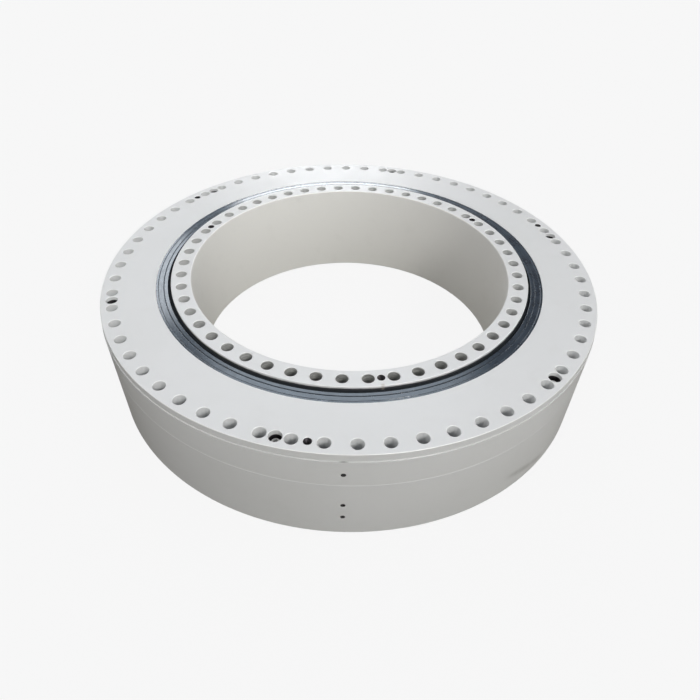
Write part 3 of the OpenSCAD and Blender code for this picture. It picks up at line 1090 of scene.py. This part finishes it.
place(ring_lower, "outer_ring", "ring_paint", "outer_ring_lower")

# %% [markdown]
# ## The inner ring
#
# The inner ring turns. Its nose stands out between the rows of rollers, so that it can
# take load from above, from below and from the side. Fifty mount holes go right
# through it, and three tapped holes between them take lifting eyes.

# %% Inner ring
nose_foot, nose_top = 89.6, 223.6
inner_corners = [
    (BORE, inner_foot + 3.0, 0.8),
    (BORE, inner_top - 3.0, 0.8),
    (BORE + 3.0, inner_top, 0.8),
    (LAND - 1.5, inner_top, 0.6),
    (LAND, inner_top - 1.5, 0.6),
    (LAND, outer_top - SHOULDER, 0.5),
    (BODY, outer_top - SHOULDER, 0.5),
    (BODY, nose_top, 0.5),
    (NOSE - 1.5, nose_top, 0.5),
    (NOSE, nose_top - 1.5, 0.5),
    (NOSE, nose_foot + 1.5, 0.5),
    (NOSE - 1.5, nose_foot, 0.5),
    (BODY, nose_foot, 0.5),
    (BODY, SHOULDER, 0.5),
    (LAND, SHOULDER, 0.5),
    (LAND, inner_foot + 1.5, 0.6),
    (LAND - 1.5, inner_foot, 0.6),
    (BORE + 3.0, inner_foot, 0.8),
]
HOLE_STEP = 360 / 50  # degrees from one mount hole to the next
inner_rows = ("Mount holes", "Lifting thread a", "Lifting thread b", "Lifting thread c")
ring_inner = bake(
    "inner_ring_painted",
    outline_object("inner_outline", soften(inner_corners)),
    drilled_ring_tree("turn_and_drill_inner_ring", inner_rows),
    ring_values(
        paint.material,
        bare.material,
        Mount_holes=("inner", 50, INNER_HOLES, 0.0),
        Lifting_thread_a=("inner_lift", 1, INNER_HOLES, -11.5 * HOLE_STEP),
        Lifting_thread_b=("inner_lift", 1, INNER_HOLES, 4.5 * HOLE_STEP),
        Lifting_thread_c=("inner_lift", 1, INNER_HOLES, 21.5 * HOLE_STEP),
    ),
)
place(ring_inner, "inner_ring", "ring_paint", "inner_ring")

# %% [markdown]
# ## The seals
#
# Each lip seal is one outline too: a foot that is glued in its seat, a flat back with
# two grooves, and a thin lip that reaches in to the inner ring. Turned with the same
# tree, with no rows of holes, it costs a few lines. The lower seal is the upper one
# upside down.

# %% Seals
for drill in drills.values():
    bpy.data.objects.remove(drill)
seal_corners = [
    (SEAT, 0.0, 0.5),
    (SEAT, 22.5, 0.7),
    (SEAT - 6.0, 22.5, 0.5),
    (SEAT - 6.6, 21.0, 0.3),
    (SEAT - 7.4, 21.0, 0.3),
    (SEAT - 8.0, 22.1, 0.4),
    (SEAT - 22.0, 22.1, 0.5),
    (SEAT - 22.6, 20.0, 0.3),
    (SEAT - 23.4, 20.0, 0.3),
    (SEAT - 24.0, 22.2, 0.3),
    (SEAT - 25.0, 22.5, 0.5),
    (SEAT - 34.5, 22.5, 0.6),
    (SEAT - 35.5, 21.5, 0.6),
    (SEAT - 38.0, 15.5, 1.0),
    (LAND + 3.3, 18.5, 0.6),
    (LAND + 0.3, 19.5, 0.0),
    (LAND + 0.3, 17.0, 0.0),
    (SEAT - 32.0, 7.5, 1.5),
    (SEAT - 28.0, 2.0, 0.8),
    (SEAT - 26.0, 0.0, 0.6),
]
seal_tree = drilled_ring_tree("turn_a_seal", ())
seal_inputs = ring_values(rubber.material, rubber.material)
seal_places = (("upper_seal", outer_top - SEAT_DEPTH, 1), ("lower_seal", SEAT_DEPTH, -1))
for name, foot, flip in seal_places:
    corners = [(r, foot + flip * h, size) for r, h, size in seal_corners]
    seal = bake(
        name + "_rubber",
        outline_object(name + "_outline", soften(corners)),
        seal_tree,
        seal_inputs,
    )
    place(seal, "outer_ring", "seal_rubber", name)

# %% [markdown]
# ## Joining screws
#
# Six socket-head screws hold the halves of the outer ring together. Their heads have
# knurled sides for the fingers and a hexagon socket for the key. One screw is lofted
# from loops that all have 96 points, so a round loop can turn into a hexagon without
# a break, and the tree from before puts six of them round the ring.


# %% One joining screw
def hexagon(across_flats):
    """The radius of a hexagon, as a function of the angle."""
    return lambda angle: across_flats / 2 / math.cos((angle % (math.pi / 3)) - math.pi / 6)


def knurled(angle):
    """Radius of the head's side: 32 shallow ridges round it."""
    return 12.0 - 0.28 * (0.5 + 0.5 * math.cos(32 * angle))


SCREW_POINTS = 96
socket_floor = screw_top - 8.0
screw_sections = [
    (6.8, screw_low),
    (8.0, screw_low + 1.2),
    (8.0, screw_seat - 0.6),
    (8.6, screw_seat),
    (11.4, screw_seat),
    (11.8, screw_seat + 0.5),
    (knurled, screw_seat + 0.9),
    (knurled, screw_top - 2.6),
    (11.9, screw_top - 2.1),
    (11.8, screw_top - 1.4),
    (11.2, screw_top - 0.5),
    (10.4, screw_top - 0.05),
    (10.0, screw_top),
    (8.7, screw_top),
    (hexagon(14.3), screw_top - 0.7),
    (hexagon(14.0), screw_top - 1.2),
    (hexagon(14.0), socket_floor),
    (0.5, socket_floor - 1.5),
]
one_screw = loft("one_joining_screw", round_loops(screw_sections, SCREW_POINTS))
print("one screw:", len(one_screw.data.polygons), "faces")

# %% Six joining screws
screws_tree, given, output = new_tree(
    "six_joining_screws",
    [
        ("Geometry", "NodeSocketGeometry", None),
        *row_inputs(),
        ("Finish", "NodeSocketMaterial", None),
    ],
)
ring_of_screws = row_of_copies(screws_tree, given)
real = add_node(screws_tree, "GeometryNodeRealizeInstances", {0: ring_of_screws})
finished = add_node(
    screws_tree,
    "GeometryNodeSetMaterial",
    {"Geometry": shade_soft(screws_tree, real.outputs[0]), "Material": given["Finish"]},
)
screws_tree.links.new(finished.outputs[0], output.inputs[0])
start = bpy.data.objects.new("screw_start", bpy.data.meshes.new("screw_start"))
scene.collection.objects.link(start)
screws = bake(
    "joining_screws_blackened",
    start,
    screws_tree,
    {
        "Piece": one_screw,
        "Count": 6,
        "Circle Radius": OUTER_HOLES * mm,
        "First Angle": math.radians(SCREW_TURN),
        "Finish": screw.material,
    },
)
bpy.data.objects.remove(one_screw)
place(screws, "outer_ring", "screw_steel", "joining_screws")

# %% [markdown]
# ## Rollers, cages and the cord seal
#
# These lie inside, out of sight. The frame already has them with their true shapes,
# one node for each sixth of a row, so they stay as they are and only get a finish.

# %% Finishes for the frame's own nodes
inside = {"_rollers_": roller.material, "_cage_": cage.material, "cord_seal": rubber.material}
dressed = 0
for name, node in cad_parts.items():
    for part_of_name, material in inside.items():
        if part_of_name in name:
            for material_slot in node.material_slots:
                material_slot.material = material
            dressed += 1
print(dressed, "nodes of the frame have a finish")

# %% [markdown]
#
# The looks are meant to keep the size of the bearing. The script measures the finished model's
# box, and prints its largest difference from the frame's box.

# %% Finish
shown_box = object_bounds()
gaps = [abs(a - b) for cad, shown in zip(cad_box, shown_box) for a, b in zip(cad, shown)]
print("largest difference:", max(gaps))
